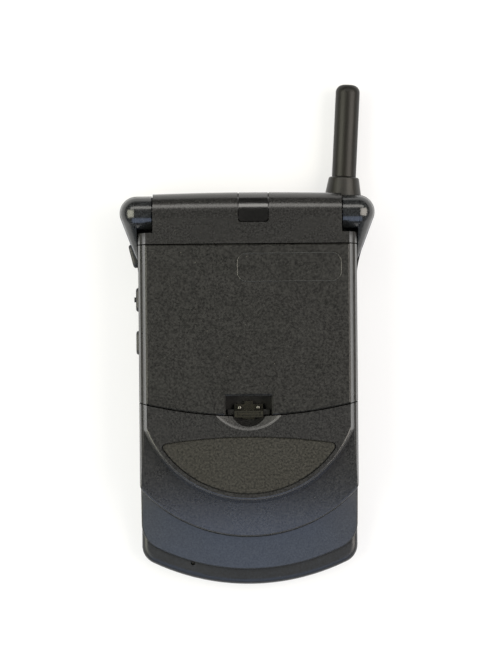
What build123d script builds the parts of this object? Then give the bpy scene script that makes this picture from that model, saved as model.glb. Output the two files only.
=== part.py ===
from build123d import *
from math import asin, cos, pi, radians, sin, sqrt, tan
import os

# Clamshell mobile phone, closed and lying on its back, in millimetres.
# The origin is on the resting plane under the middle of the body. +Y runs to the hinge and the
# antenna, +Z rises from the base to the lid, and +X is to the right, seen from the lid.

# ---- plan of the body ----
half_width = 25.9           # straight side walls of base, lid and battery
rear_tip_y = -47.2          # lower end of the rear housing
rear_tip_radius = 53.9
front_tip_y = -43.4         # lower end of the front housing
front_tip_radius = 50.5
lid_tip_y = -35.1           # lower end of the lid
lid_tip_radius = 34.5
rear_corner = 4.5
front_corner = 6.6
lid_corner = 2.5
flare_angle = 20.0          # degrees between the side wall and the flare up to the hinge ears
flare_blend = 28.0          # radius where the flare leaves the side wall
corner_search = 0.001       # how near a corner lies to its named height

# ---- heights ----
split_z = 6.0               # rear housing to front housing
face_z = 9.4                # rim of the front housing, under the lid
lid_gap = 0.2
cover_thickness = 1.6
ledge_high_z = 16.8         # crescent ledge beside the raised panel
ledge_low_z = 12.6          # crescent ledge at the lid's end
ledge_start_y = -8.0        # the ledge bows down from here
battery_floor_z = 13.0
top_z = 19.0
chin_slope_y = -35.6        # the front housing slopes down from here
chin_end_z = 7.0

# ---- shells ----
wall = 1.6
back_wall = 1.4
back_edge_round = 2.2
rear_lip_round = 1.5
chin_edge = 0.4
face_rim = 3.0              # raised rim round the keypad field
face_corner = 3.0
face_plate = 1.3
face_recess = 0.6           # keypad field below the rim
seat_gap = 0.1              # between pieces that are fixed to each other
part_gap = 0.3              # between pieces that move past each other

# ---- hinge ----
hinge_y = 41.7
hinge_z = 14.1
barrel_mid_radius = 4.85
barrel_end_radius = 4.5
shoulder_width = 3.6        # lid beside the end of the barrel
shoulder_gap = 0.9          # from the ear to the lid's shoulder
cradle_gap = 0.5            # under the barrel, where its neck turns down as the lid opens
ear_radius = 3.9
ear_step = 0.1              # the foot of the ear stands out below its ball
ridge_radius = 1.0          # low end of the ridge that runs down from the ear
ear_cap = 3.75              # cap of each ear, outside its parting line
ear_seam_width = 0.15
ear_seam_depth = 0.12
neck_y = 34.3               # battery seam
pin_radius = 1.5
shaft_radius = 1.6
pin_fit = 0.05
pin_seat = 3.8              # length of pin or shaft held in an ear
pin_length = 12.2
shaft_length = 13.4
cartridge_radius = 3.2
cartridge_length = 15.0
washer_count = 4
washer_sheet = 0.3
washer_pitch = 0.6
washer_radius = 2.7
washer_bore = 1.9
washer_cone = 0.25
washer_start = 2.4          # from the cartridge's inner end to the first washer

# ---- raised panel and its edges ----
panel_radius = 26.0         # top edge of the round end
panel_centre_y = 0.0
panel_spread = 1.3          # how far the side of the round end slopes out
panel_foot_z = 14.0         # foot of that slope, inside the ledge
panel_round = 0.6
ledge_round = 0.5
facet_low_z = 14.8          # lower edge of the outer side facet
facet_mid_z = 16.2
facet_high_z = 16.6
facet_outer = 0.5           # widths of the side facets, seen from above
facet_middle = 0.5
facet_inner = 0.9

# ---- nameplate ----
plate_margin = 1.45         # rim between the nameplate and the edge of the raised panel
plate_tip_y = -13.05
plate_top_y = -11.4
plate_thickness = 0.5
plate_groove = 0.25
plate_tip_round = 0.8
plate_edge = 0.12

# ---- battery ----
battery_low_y = -6.5
battery_low_radius = 104.8
battery_gap = 0.25
battery_wall = 1.2
battery_base_thickness = 0.8
notch_half = 5.45
notch_top_y = -1.6
notch_bevel = 0.45
latch_room = 1.2            # how far the notch runs on under the battery's skin
scoop_radius = 10.2
scoop_centre_y = 0.45
scoop_rim_width = 0.5
scoop_rim_depth = 0.25
scoop_sphere = 36.0
pocket_radius = 4.3         # deeper pocket of the scoop, for the latch
pocket_centre_y = -4.6
pocket_floor_z = 15.1
label_inset = 3.7           # from the battery's right side
label_width = 24.75
label_low_y = 25.2
label_high_y = 32.1
label_corner = 2.3
label_groove = 0.3
label_depth = 0.2
cell_count = 3
cell_gap = 0.4
cell_low_y = 0.6
cell_thickness = 3.6
cell_round = 0.8
cell_side_room = 3.4        # from the battery's side to its cells
battery_edge = 0.3

# ---- latch ----
latch_half = 3.4
latch_low_y = -6.1
latch_plate_width = 2.4
latch_plate_thickness = 1.0
latch_bar_low_y = -6.7
latch_bar_width = 1.5
latch_bar_low_z = 15.4
latch_bar_z = 17.4
latch_cheek = 0.6           # ends of the finger bar, beside its recess
latch_lip = 0.25            # long edges of the finger bar, beside its recess
latch_recess = 0.3
latch_rib_half = 2.0
latch_rib_width = 0.2
latch_rib_inset = 0.2
latch_tail_half = 1.0
latch_tail_length = 0.85
tooth_half = 1.5
tooth_length = 0.5
tooth_high_z = 16.0
latch_guide_z = 16.4
latch_guide_width = 1.4
stud_radius = 0.4
stud_x = 2.2
stud_height = 0.9
spring_strip = 0.2
spring_half = 3.0
spring_bow = 0.8
spring_height = 1.2
spring_room = 0.2

# ---- antenna ----
antenna_inset = 6.85       # from the ear's side to the middle of the sheath's lower end
antenna_y = 50.6
antenna_z = 4.7
antenna_lean = 3.1          # degrees outwards
sheath_radius = 2.9
sheath_length = 22.1
sheath_round = 1.9
collar_low_radius = 4.4
collar_top_radius = 3.6
collar_gap = 0.15
collar_face_gap = 0.02
collar_round = 0.5
collar_neck_radius = 2.3
whip_radius = 0.6
whip_fit = 0.08
whip_length = 85.0
whip_seat = 4.0             # length of whip held in the sheath
whip_seat_fit = 0.03
stop_radius = 0.95
stop_length = 2.0
guide_bore = 1.15
guide_wall = 0.35
guide_tail = 1.2            # beyond the retracted whip
antenna_hole_room = 1.0     # how far the antenna's hole is cut beyond the wall

# ---- side buttons ----
button_z = 3.6
button_height = 2.6
button_length = 5.8
button_proud = 1.05
button_fit = 0.15
button_flange = 0.5
button_flange_thickness = 0.5
button_round = 0.6
button_travel = 0.4
nub_radius = 0.6
nub_proud = 0.4
upper_button_y = 32.0
upper_button_out = 1.15     # beyond the side wall, on the flare
upper_button_tilt = 14.0
middle_button_y = 21.4
lower_button_y = 11.05

# ---- keypad ----
key_pitch_x = 14.0
key_pitch_y = 7.0
key_width = 11.4
key_height = 5.2
key_corner = 2.3
first_row_y = -0.4
function_row_y = 7.6
function_corner = 1.6
function_pitch = 10.6
function_width = 8.6
function_height = 3.8
key_fit = 0.2
key_proud = 0.5
key_flange = 0.45
key_flange_thickness = 0.4
key_travel = 0.4
key_round = 0.35
membrane_thickness = 0.4
dome_radius = 1.6
dome_height = 0.25

# ---- display ----
display_y = 20.4
display_half_x = 15.2
display_half_y = 8.2
display_border = 1.2
window_thickness = 1.1
window_corner = 1.2

# ---- electronics in the base ----
board_low_z = 5.0
board_thickness = 0.9
board_overlap = 0.5         # from the face of the side switches to the board's edge
board_guide_gap = 0.75      # from the board's other edge to the whip guide
board_low_y = -35.5
board_high_y = 33.2
can_height = 2.0
can_sheet = 0.3
can_round = 0.5
can_gap = 1.0               # from the screw bosses
radio_low_y = 2.0
radio_high_y = 29.0
logic_low_y = -29.5
logic_high_y = -1.0
switch_half = 1.7
switch_height = 2.2
switch_length = 1.7
display_sink = 0.4
mic_edge = 0.3
mic_x = -13.7
mic_port_y = -42.0
mic_radius = 2.0
mic_offset = 1.0            # capsule behind its port
mic_height = 2.0
mic_port_radius = 0.5
ringer_radius = 4.6
ringer_height = 2.6
sound_hole_count = 7
sound_hole_radius = 0.45
sound_ring_radius = 2.2
ringer_lip = 0.7
ringer_gap = 2.05           # from the headset jack
ringer_y = 39.0
motor_radius = 1.6
motor_length = 9.0
motor_shaft = 0.4
motor_weight = 2.6
motor_weight_gap = 0.5
motor_gap = 1.9             # from the ringer
motor_y = 39.5
jack_inset = 8.3            # from the side wall
jack_z = 3.9
jack_bore = 1.25
jack_depth = 11.0
jack_body = 1.95
jack_length = 11.5
connector_half = 8.0
connector_low_z = 1.5
connector_high_z = 4.1
connector_depth = 5.0
connector_pocket = 2.2
connector_inset = 1.0
connector_wall = 0.6
contact_width = 0.8
contact_height = 0.3
contact_set_back = 0.4
contact_count = 9
contact_pitch = 1.6

# ---- screws ----
screw_edge = 3.3            # from the sides of the board
screw_low_y = -32.6
screw_high_y = 31.8
screw_radius = 0.8
screw_head_radius = 1.6
screw_head_height = 1.1
boss_radius = 1.9
screw_recess = 0.3
screw_socket = 0.8
screw_socket_depth = 0.7

# ---- parts in the lid ----
earpiece_gap = 0.6          # from the round end of the panel's hollow
earpiece_radius = 6.6
earpiece_height = 3.0
slot_count = 5
slot_pitch = 1.7
slot_width = 0.7
slot_length = 7.0
lid_board_thickness = 0.6
lid_skin = 1.2
bay_floor = 0.8
panel_skin = 3.2            # top of the raised panel's hollow below the panel, clear of the scoop
lid_board_half = 14.0
lid_board_low_y = 8.0
lid_board_high_y = 33.0
flex_outer = 2.5
flex_inner = 2.0
flex_left_x = -7.0
flex_right_x = 3.0
flex_room = 0.6
flex_sheet = 0.2
flex_lap = 2.2              # length of flex on the lid board
contact_half_x = 0.6
contact_half_y = 1.6
pad_thickness = 0.2
pad_reach = 2.0             # half length of a battery pad along the body
lid_screw_inset = 5.7       # from the side wall
lid_screw_y = 30.4
lid_tip_screw_inset = 9.9
lid_tip_screw_y = -24.6
lid_screw_radius = 0.6
lid_screw_head = 1.25
lid_screw_head_height = 0.6
lid_screw_length = 2.4
lid_boss = 1.7
pad_count = 4
pad_pitch = 3.2
pad_y = 29.0
status_left_x = -2.0
status_right_x = 4.9
status_low_y = 39.5
status_thickness = 0.9
status_gap = 0.2
status_wrap = 1.0           # how far the window reaches below the hinge axis at the back
status_corner = 0.7

# ---- places that follow from the sizes above ----
fin_x = half_width + part_gap
ear_corner = ear_radius + ear_step
ear_side_x = fin_x + ear_corner
base_top_y = hinge_y + ear_corner
flare_turn = radians(flare_angle)
ear_low_y = hinge_y - ear_corner * tan(flare_turn / 2)
flare_start_y = ear_low_y - (ear_side_x - half_width) / tan(flare_turn)
ridge_x = half_width - (ridge_radius + ear_step) * cos(flare_turn)
ridge_y = flare_start_y + (ridge_radius + ear_step) * sin(flare_turn)
ear_seam_x = ear_side_x - ear_cap
barrel_half = half_width - shoulder_width
lid_low_z = face_z + lid_gap
shell_low_z = lid_low_z + cover_thickness
recess_z = face_z - face_recess
plate_low_z = recess_z - face_plate
shoulder_y = hinge_y - ear_radius - shoulder_gap
cradle_radius = barrel_mid_radius + cradle_gap
knuckle_x = barrel_half + part_gap
board_high_z = board_low_z + board_thickness
guide_radius = guide_bore + guide_wall
antenna_x = ear_side_x - antenna_inset
upper_button_x = -half_width - upper_button_out
switch_face_x = -half_width + wall + seat_gap + button_flange_thickness + button_travel + seat_gap
switch_back_x = switch_face_x + switch_length
board_left_x = switch_face_x + board_overlap
whip_low_x = antenna_x - tan(radians(antenna_lean)) * (antenna_y - board_low_y)
board_right_x = whip_low_x - guide_radius - board_guide_gap
screw_left_x = board_left_x + screw_edge
screw_right_x = board_right_x - screw_edge
can_left_x = screw_left_x + boss_radius + can_gap
can_right_x = screw_right_x - boss_radius - can_gap
jack_x = -half_width + jack_inset
ringer_x = jack_x + jack_body + ringer_gap + ringer_radius
motor_x = ringer_x + ringer_radius + motor_gap + motor_length / 2
guide_end = whip_length - whip_seat + guide_tail
cartridge_x = barrel_half - seat_gap - cartridge_length
flex_low_z = shell_low_z + lid_board_thickness
battery_low_z = battery_floor_z + seat_gap
case_low_z = battery_low_z + battery_base_thickness
panel_foot = panel_radius + panel_spread
plate_radius = panel_radius - plate_margin
plate_tip_x = sqrt(plate_radius ** 2 - (panel_centre_y - plate_tip_y) ** 2)
plate_rise = plate_top_y - plate_tip_y
plate_bow_radius = (plate_tip_x ** 2 + plate_rise ** 2) / (2 * plate_rise)
earpiece_y = panel_centre_y - panel_radius + lid_skin + earpiece_gap + earpiece_radius
lid_screw_x = half_width - lid_screw_inset
lid_tip_screw_x = half_width - lid_tip_screw_inset
label_right_x = half_width - label_inset
mic_y = mic_port_y + mic_offset
cavity_top_y = base_top_y - wall
antenna_wall_near = (antenna_y - base_top_y) / cos(radians(antenna_lean)) - antenna_hole_room
antenna_wall_far = (antenna_y - cavity_top_y) / cos(radians(antenna_lean)) + antenna_hole_room
front_cavity_top_y = hinge_y - cradle_radius - wall
key_low_z = board_high_z + membrane_thickness + dome_height + key_travel + seat_gap


# ---- shared shapes ----
def block(x0, x1, y0, y1, z0, z1):
    """Box between the given limits."""
    return Pos((x0 + x1) / 2, (y0 + y1) / 2, (z0 + z1) / 2) * Box(x1 - x0, y1 - y0, z1 - z0)


def bar_x(radius, x0, x1, y=hinge_y, z=hinge_z):
    """Round bar along X, on the hinge axis unless told otherwise."""
    return Pos((x0 + x1) / 2, y, z) * Rot(0, 90, 0) * Cylinder(radius, x1 - x0)


def bar_z(radius, x, y, z0, z1):
    """Round bar that stands upright."""
    return Pos(x, y, (z0 + z1) / 2) * Cylinder(radius, z1 - z0)


def bar_y(radius, x, z, y0, y1):
    """Round bar along Y."""
    return Pos(x, (y0 + y1) / 2, z) * Rot(90, 0, 0) * Cylinder(radius, y1 - y0)


def prism(plan, z0, z1):
    """Solid that stands on a plan face."""
    return extrude(Pos(0, 0, z0) * plan, z1 - z0, dir=(0, 0, 1))


def bowed_plan(half, top_y, tip_y, tip_radius):
    """Plan with straight sides and a bowed lower end."""
    side_y = tip_y + tip_radius - sqrt(tip_radius ** 2 - half ** 2)
    sides = Polyline((half, side_y), (half, top_y), (-half, top_y), (-half, side_y))
    bow = ThreePointArc((-half, side_y), (0, tip_y), (half, side_y))
    return make_face(sides + bow)


def chin_plan(half, top_y, tip_y, tip_radius, corner):
    """Bowed plan with rounded lower corners."""
    plan = bowed_plan(half, top_y, tip_y, tip_radius)
    return fillet(plan.vertices().sort_by(Axis.Y)[:2], corner)


def flare_plan(inner_x):
    """Plan of the right-hand flare that widens the base to the round hinge ear."""
    plan = make_face(Polyline((half_width, flare_start_y), (inner_x, flare_start_y), (inner_x, base_top_y),
                              (ear_side_x, base_top_y), (ear_side_x, ear_low_y), (half_width, flare_start_y)))
    return fillet(plan.vertices().sort_by(Axis.X)[-2:], ear_corner)


def both_sides(shape):
    """The right-hand shape together with its mirror image on the left."""
    return shape + mirror(shape, Plane.YZ)


def base_plan(tip_y, tip_radius, corner):
    """Plan of one base housing, with both flares."""
    plan = chin_plan(half_width, base_top_y, tip_y, tip_radius, corner)
    plan += both_sides(flare_plan(half_width - wall))
    return fillet(plan.vertices().filter_by(lambda point: abs(point.Y - flare_start_y) < corner_search),
                  flare_blend)


def cavity_plan(top_y):
    """Plan of the hollow inside the base."""
    return chin_plan(half_width - wall, top_y, front_tip_y + wall, front_tip_radius - wall, rear_corner - wall)


def screw_places():
    """Plan positions of the four housing screws."""
    return [(x, y) for x in (screw_left_x, screw_right_x) for y in (screw_low_y, screw_high_y)]


def antenna_axis():
    """Frame at the lower end of the sheath, with its own Z along the antenna."""
    return Pos(antenna_x, antenna_y, antenna_z) * Rot(-90, 0, 0) * Rot(0, antenna_lean, 0)


def antenna_bar(radius, start, end):
    """Round bar on the antenna axis between two distances from the sheath's lower end."""
    return antenna_axis() * Pos(0, 0, (start + end) / 2) * Cylinder(radius, end - start)


# ---- base ----
def side_button_places():
    """Outer face positions and tilts of the three side buttons, from the hinge end down."""
    return [
        Pos(upper_button_x, upper_button_y, button_z) * Rot(0, 0, upper_button_tilt),
        Pos(-half_width, middle_button_y, button_z),
        Pos(-half_width, lower_button_y, button_z),
    ]


def pill_x(length, height, x0, x1):
    """Round-ended bar along X whose section is long in Y."""
    plan = SlotOverall(length, height)
    return Pos(x0, 0, 0) * extrude(Rot(0, 90, 0) * Rot(0, 0, 90) * plan, x1 - x0, dir=(1, 0, 0))


def button_reach(place):
    """Distance from a button's outer wall face to the inner wall face, along the button."""
    tilt = radians(place.orientation.Z)
    return (-half_width + wall - place.position.X) / cos(tilt)


def rear_housing():
    """Back tray of the base, with its chin rim, screw bosses and ports."""
    tray = prism(base_plan(rear_tip_y, rear_tip_radius, rear_corner), 0, split_z)
    tray = fillet(tray.edges().group_by(Axis.Z)[0], back_edge_round)
    lip = tray.edges().group_by(Axis.Z)[-1].filter_by(lambda edge: edge.center().Y < chin_slope_y)
    tray = fillet(lip, rear_lip_round)
    tray -= prism(cavity_plan(cavity_top_y), back_wall, split_z)
    for x, y in screw_places():
        tray += bar_z(boss_radius, x, y, back_wall, board_low_z)
        tray -= bar_z(screw_radius + seat_gap, x, y, 0, board_low_z)
        tray -= bar_z(screw_head_radius + seat_gap, x, y, 0, screw_recess + screw_head_height)
    tray -= bar_z(mic_radius + seat_gap, mic_x, mic_y, back_wall, back_wall + mic_height + seat_gap)
    tray -= bar_z(mic_port_radius, mic_x, mic_port_y, back_wall + mic_height, split_z)
    tray -= block(-connector_half - seat_gap, connector_half + seat_gap, rear_tip_y - wall,
                  rear_tip_y + connector_inset + connector_depth + seat_gap,
                  connector_low_z - seat_gap, connector_high_z + seat_gap)
    for turn in range(sound_hole_count):
        angle = 2 * pi * turn / sound_hole_count
        tray -= bar_z(sound_hole_radius, ringer_x + sound_ring_radius * cos(angle),
                      ringer_y + sound_ring_radius * sin(angle), 0, back_wall)
    tray -= bar_y(jack_body + seat_gap, jack_x, jack_z, cavity_top_y, base_top_y)
    for place in side_button_places():
        tray -= place * pill_x(button_length + 2 * button_fit, button_height + 2 * button_fit,
                               -button_proud, wall)
        flange_room = 2 * (button_flange + button_fit)
        tray -= place * pill_x(button_length + flange_room, button_height + flange_room,
                               wall, button_reach(place) + wall)
    tray -= antenna_bar(collar_neck_radius + seat_gap, -antenna_wall_far, -antenna_wall_near)
    tray -= antenna_bar(guide_radius + seat_gap, -guide_end, -antenna_wall_near)
    return tray


def ear_ridge():
    """Tapered round ridge, from the ball of the right-hand ear down to the low end of the flare."""
    high = Vector(fin_x, hinge_y, hinge_z)
    low = Vector(ridge_x, ridge_y, face_z - ridge_radius)
    reach = (low - high).length
    hull = make_hull(Circle(ear_radius).edges() + (Pos(reach, 0) * Circle(ridge_radius)).edges())
    half = hull & Pos(reach / 2, ear_radius) * Rectangle(2 * reach + 2 * ear_radius, 2 * ear_radius)
    along = Plane(origin=high, x_dir=low - high, z_dir=(low - high).cross(Vector(1, 0, 0)))
    return along * revolve(half, Axis.X)


def hinge_ear():
    """Right-hand hinge ear: knuckle with a ball end, the ridge down the flare, and their foot on the base."""
    side = Plane.YZ * make_face(Polyline(
        (flare_start_y, split_z), (flare_start_y, face_z - ridge_radius),
        (hinge_y - ear_corner * sin(flare_turn), hinge_z), (base_top_y, hinge_z), (base_top_y, split_z),
        (flare_start_y, split_z)))
    outside = Pos(fin_x, 0, 0) * extrude(side, ear_side_x - fin_x, dir=(1, 0, 0))
    foot = outside & prism(flare_plan(knuckle_x), split_z, hinge_z)
    foot += block(knuckle_x, fin_x, hinge_y - ear_radius, base_top_y, split_z, hinge_z)
    ridge = ear_ridge() & block(fin_x, ear_side_x, ridge_y - ridge_radius, base_top_y, split_z, top_z)
    return bar_x(ear_radius, knuckle_x, fin_x) + ridge + foot


def ear_seam():
    """Fine groove over the right-hand ear, between its knuckle and its cap."""
    groove = bar_x(ear_radius + part_gap, ear_seam_x, ear_seam_x + ear_seam_width)
    groove -= bar_x(ear_radius - ear_seam_depth, ear_seam_x, ear_seam_x + ear_seam_width)
    return groove & block(knuckle_x, ear_side_x, hinge_y - ear_radius - part_gap, base_top_y, hinge_z, top_z)


def field_plan(shrink=0):
    """Plan of the recessed keypad and display field."""
    return chin_plan(half_width - face_rim - shrink, front_cavity_top_y - shrink, lid_tip_y + face_rim + shrink,
                     lid_tip_radius - face_rim - shrink, face_corner)


def chin_slope():
    """Space above the sloping chin, a cone round the lid's end."""
    centre_y = lid_tip_y + lid_tip_radius
    start = centre_y - chin_slope_y
    end = centre_y - front_tip_y
    beyond = 2 * end - start
    drop = face_z - chin_end_z
    section = make_face(Polyline((start, face_z), (beyond, face_z - 2 * drop), (beyond, face_z + drop),
                                 (start, face_z + drop), (start, face_z)))
    return Pos(0, centre_y, 0) * Rot(0, 0, 180) * revolve(Plane.XZ * section, Axis.Z, 180)


def rounded_plate(x, y, width, height, corner, z0, z1):
    """Flat plate with rounded corners."""
    return Pos(x, y, 0) * prism(RectangleRounded(width, height, corner), z0, z1)


def front_housing():
    """Upper shell of the base, with the hinge ears, the barrel's cradle and the keypad field."""
    shell = prism(base_plan(front_tip_y, front_tip_radius, front_corner), split_z, face_z)
    shell -= chin_slope()
    rim = shell.edges().filter_by(lambda edge: chin_end_z - chin_edge < edge.center().Z < face_z - chin_edge
                                  and edge.bounding_box().size.Z < face_z - chin_end_z)
    shell = fillet(rim, chin_edge)
    shell += both_sides(hinge_ear())
    shell -= both_sides(ear_seam())
    shell -= bar_x(cradle_radius, -knuckle_x, knuckle_x)
    hollow = prism(cavity_plan(front_cavity_top_y), split_z, plate_low_z)
    shell -= hollow - Pos(0, 0, -face_plate) * chin_slope()
    shell -= prism(field_plan(), recess_z, face_z)
    shell -= rounded_plate(0, display_y, 2 * display_half_x, 2 * display_half_y, window_corner,
                           plate_low_z, face_z)
    for x, y, width, height, corner in key_places().values():
        shell -= rounded_plate(x, y, width + 2 * key_fit, height + 2 * key_fit, corner + key_fit,
                               plate_low_z, face_z)
    for x, y in screw_places():
        shell += bar_z(boss_radius, x, y, board_high_z, plate_low_z)
        shell -= bar_z(screw_radius + seat_gap, x, y, board_high_z, plate_low_z)
    shell -= bar_x(pin_radius + pin_fit, -knuckle_x - pin_seat, -knuckle_x)
    shell -= bar_x(shaft_radius + pin_fit, knuckle_x, knuckle_x + pin_seat)
    shell -= antenna_bar(collar_neck_radius + seat_gap, -antenna_wall_far, -antenna_wall_near)
    shell -= antenna_bar(guide_radius + seat_gap, -guide_end, -antenna_wall_near)
    return shell


def key_places():
    """Name, plan position and size of every key, from the function row down."""
    places = {}
    for column, name in enumerate(("send", "clear", "menu", "end")):
        x = (column - 1.5) * function_pitch
        places["key_" + name] = (x, function_row_y, function_width, function_height, function_corner)
    for index, name in enumerate(("1", "2", "3", "4", "5", "6", "7", "8", "9", "star", "0", "hash")):
        x = (index % 3 - 1) * key_pitch_x
        y = first_row_y - index // 3 * key_pitch_y
        places["key_" + name] = (x, y, key_width, key_height, key_corner)
    return places


def key(x, y, width, height, corner):
    """One key: a rounded cap over a flange that stops against the face plate."""
    cap = rounded_plate(x, y, width, height, corner, key_low_z, recess_z + key_proud)
    cap = fillet(cap.edges().group_by(Axis.Z)[-1], key_round)
    flange = rounded_plate(x, y, width + 2 * key_flange, height + 2 * key_flange, corner + key_flange,
                           key_low_z, key_low_z + key_flange_thickness)
    return cap + flange


def side_button(place, marked):
    """One side button, with its flange inside the wall; the marked one has a round nub on its face."""
    cap = pill_x(button_length, button_height, -button_proud, wall + seat_gap)
    cap = fillet(cap.edges().group_by(Axis.X)[0], button_round)
    flange = pill_x(button_length + 2 * button_flange, button_height + 2 * button_flange,
                    wall + seat_gap, wall + seat_gap + button_flange_thickness)
    if marked:
        cap += Pos(-button_proud, 0, 0) * Rot(0, 90, 0) * Cylinder(nub_radius, 2 * nub_proud)
    return place * (cap + flange)


def hinge_pin():
    """Plain pin on the left, held in the ear and turning in the barrel."""
    return bar_x(pin_radius, -knuckle_x - pin_seat + seat_gap, -knuckle_x + pin_length)


def hinge_shaft():
    """Shaft on the right, held in the ear and running into the friction cartridge."""
    return bar_x(shaft_radius, knuckle_x - shaft_length, knuckle_x + pin_seat - seat_gap)


def main_board():
    """Circuit board on the screw bosses, with holes for the screws."""
    board = block(board_left_x, board_right_x, board_low_y, board_high_y, board_low_z, board_high_z)
    for x, y in screw_places():
        board -= bar_z(screw_radius + seat_gap, x, y, board_low_z, board_high_z)
    return board


def shield_cans():
    """Two drawn metal cans under the board, one over the radio and one over the logic."""
    cans = []
    for y0, y1 in ((radio_low_y, radio_high_y), (logic_low_y, logic_high_y)):
        can = block(can_left_x, can_right_x, y0, y1, board_low_z - can_height, board_low_z)
        can = fillet(can.edges().group_by(Axis.Z)[0] + can.edges().filter_by(Axis.Z), can_round)
        can -= block(can_left_x + can_sheet, can_right_x - can_sheet, y0 + can_sheet, y1 - can_sheet,
                     board_low_z - can_height + can_sheet, board_low_z)
        cans.append(can)
    return Compound(children=cans)


def display_module():
    """Liquid-crystal panel in its frame, on the board under the window."""
    half_x = display_half_x + display_border
    half_y = display_half_y + display_border
    frame = block(-half_x, half_x, display_y - half_y, display_y + half_y, board_high_z, plate_low_z - seat_gap)
    hollow = block(-display_half_x, display_half_x, display_y - display_half_y, display_y + display_half_y,
                   plate_low_z - seat_gap - display_sink, plate_low_z - seat_gap)
    return frame - hollow


def display_window():
    """Clear window, flush with the keypad field."""
    window = rounded_plate(0, display_y, 2 * (display_half_x - seat_gap), 2 * (display_half_y - seat_gap),
                           window_corner - seat_gap, recess_z - window_thickness, recess_z)
    return chamfer(window.edges().group_by(Axis.Z)[-1], seat_gap)


def keypad_membrane():
    """Dome sheet on the board, with one snap dome under each key."""
    low_y = min(y - height / 2 for x, y, width, height, corner in key_places().values())
    high_y = max(y + height / 2 for x, y, width, height, corner in key_places().values())
    left_x = min(x - width / 2 for x, y, width, height, corner in key_places().values())
    sheet = block(left_x, board_right_x, low_y, high_y, board_high_z, board_high_z + membrane_thickness)
    for x, y, width, height, corner in key_places().values():
        reach = (dome_radius ** 2 + dome_height ** 2) / (2 * dome_height)
        ball = Pos(x, y, board_high_z + membrane_thickness + dome_height - reach) * Sphere(reach)
        sheet += ball & bar_z(dome_radius, x, y, board_high_z + membrane_thickness,
                              board_high_z + membrane_thickness + dome_height)
    return sheet


def side_switches():
    """Three side-acting switches on the board's left edge, one behind each button."""
    switches = []
    for place in side_button_places():
        inner = place * Pos(wall + seat_gap, 0, 0)
        y = inner.position.Y
        switches.append(block(switch_face_x, switch_back_x, y - switch_half, y + switch_half,
                              board_low_z - switch_height, board_low_z))
    return Compound(children=switches)


def microphone():
    """Round microphone capsule behind its port."""
    capsule = bar_z(mic_radius, mic_x, mic_y, back_wall, back_wall + mic_height)
    return chamfer(capsule.edges().group_by(Axis.Z)[-1], mic_edge)


def ringer():
    """Round ringer over the sound holes."""
    case = bar_z(ringer_radius, ringer_x, ringer_y, back_wall, back_wall + ringer_height)
    case = chamfer(case.edges().group_by(Axis.Z)[-1], ringer_lip)
    return case - bar_z(sound_ring_radius + sound_hole_radius, ringer_x, ringer_y, back_wall,
                        back_wall + ringer_lip)


def vibration_motor():
    """Small motor with an off-centre weight on its shaft."""
    centre_z = back_wall + motor_radius
    can = bar_x(motor_radius, motor_x - motor_length / 2, motor_x + motor_length / 2, motor_y, centre_z)
    end = motor_x + motor_length / 2
    shaft = bar_x(motor_shaft, end, end + motor_weight_gap + motor_weight, motor_y, centre_z)
    weight = bar_x(motor_radius, end + motor_weight_gap, end + motor_weight_gap + motor_weight, motor_y,
                   centre_z)
    weight &= block(end, end + 2 * motor_length, motor_y - motor_radius, motor_y + motor_shaft,
                    back_wall, centre_z + motor_radius)
    return can + shaft + weight


def headset_jack():
    """Small headset socket that opens through the hinge end."""
    body = bar_y(jack_body, jack_x, jack_z, base_top_y - jack_length, base_top_y)
    return body - bar_y(jack_bore, jack_x, jack_z, base_top_y - jack_depth, base_top_y)


def accessory_connector():
    """Connector block in the lower end, open downwards along the body."""
    face_y = rear_tip_y + connector_inset
    body = block(-connector_half, connector_half, face_y, face_y + connector_depth,
                 connector_low_z, connector_high_z)
    mouth = block(-connector_half + connector_wall, connector_half - connector_wall,
                  face_y, face_y + connector_pocket,
                  connector_low_z + connector_wall, connector_high_z - connector_wall)
    return body - mouth


def connector_contacts():
    """Row of sprung contact strips in the connector's mouth."""
    start_y = rear_tip_y + connector_inset + contact_set_back
    end_y = rear_tip_y + connector_inset + connector_pocket
    low_z = connector_low_z + connector_wall
    strips = []
    for index in range(contact_count):
        x = (index - (contact_count - 1) / 2) * contact_pitch
        strips.append(block(x - contact_width / 2, x + contact_width / 2, start_y, end_y, low_z,
                            low_z + contact_height))
    return Compound(children=strips)


def housing_screws():
    """Four screws from the back, through the board into the front housing."""
    screws = []
    for x, y in screw_places():
        head = bar_z(screw_head_radius, x, y, screw_recess, screw_recess + screw_head_height)
        socket = Pos(x, y, screw_recess) * extrude(RegularPolygon(screw_socket, 6), screw_socket_depth)
        shank = bar_z(screw_radius, x, y, screw_recess + screw_head_height, plate_low_z - seat_gap)
        screws.append(head + shank - socket)
    return Compound(children=screws)


def antenna_collar():
    """Tapered bush that guides the antenna through the hinge end of the base."""
    lean = radians(antenna_lean)
    low = -(antenna_y - base_top_y) / cos(lean) + tan(lean) * collar_low_radius + collar_face_gap
    inside = -(antenna_y - cavity_top_y) / cos(lean) + tan(lean) * collar_neck_radius
    cone = Pos(0, 0, (low - collar_gap) / 2) * Cone(collar_low_radius, collar_top_radius, -collar_gap - low)
    cone = antenna_axis() * fillet(cone.edges().group_by(Axis.Z)[-1], collar_round)
    collar = cone + antenna_bar(collar_neck_radius, inside, low)
    return collar - antenna_bar(whip_radius + whip_fit, inside, -collar_gap)


def whip_guide():
    """Thin tube inside the base that the whip slides down into."""
    start = -(antenna_y - cavity_top_y) / cos(radians(antenna_lean)) - part_gap
    return antenna_bar(guide_radius, -guide_end, start) - antenna_bar(guide_bore, -guide_end, start)


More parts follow.
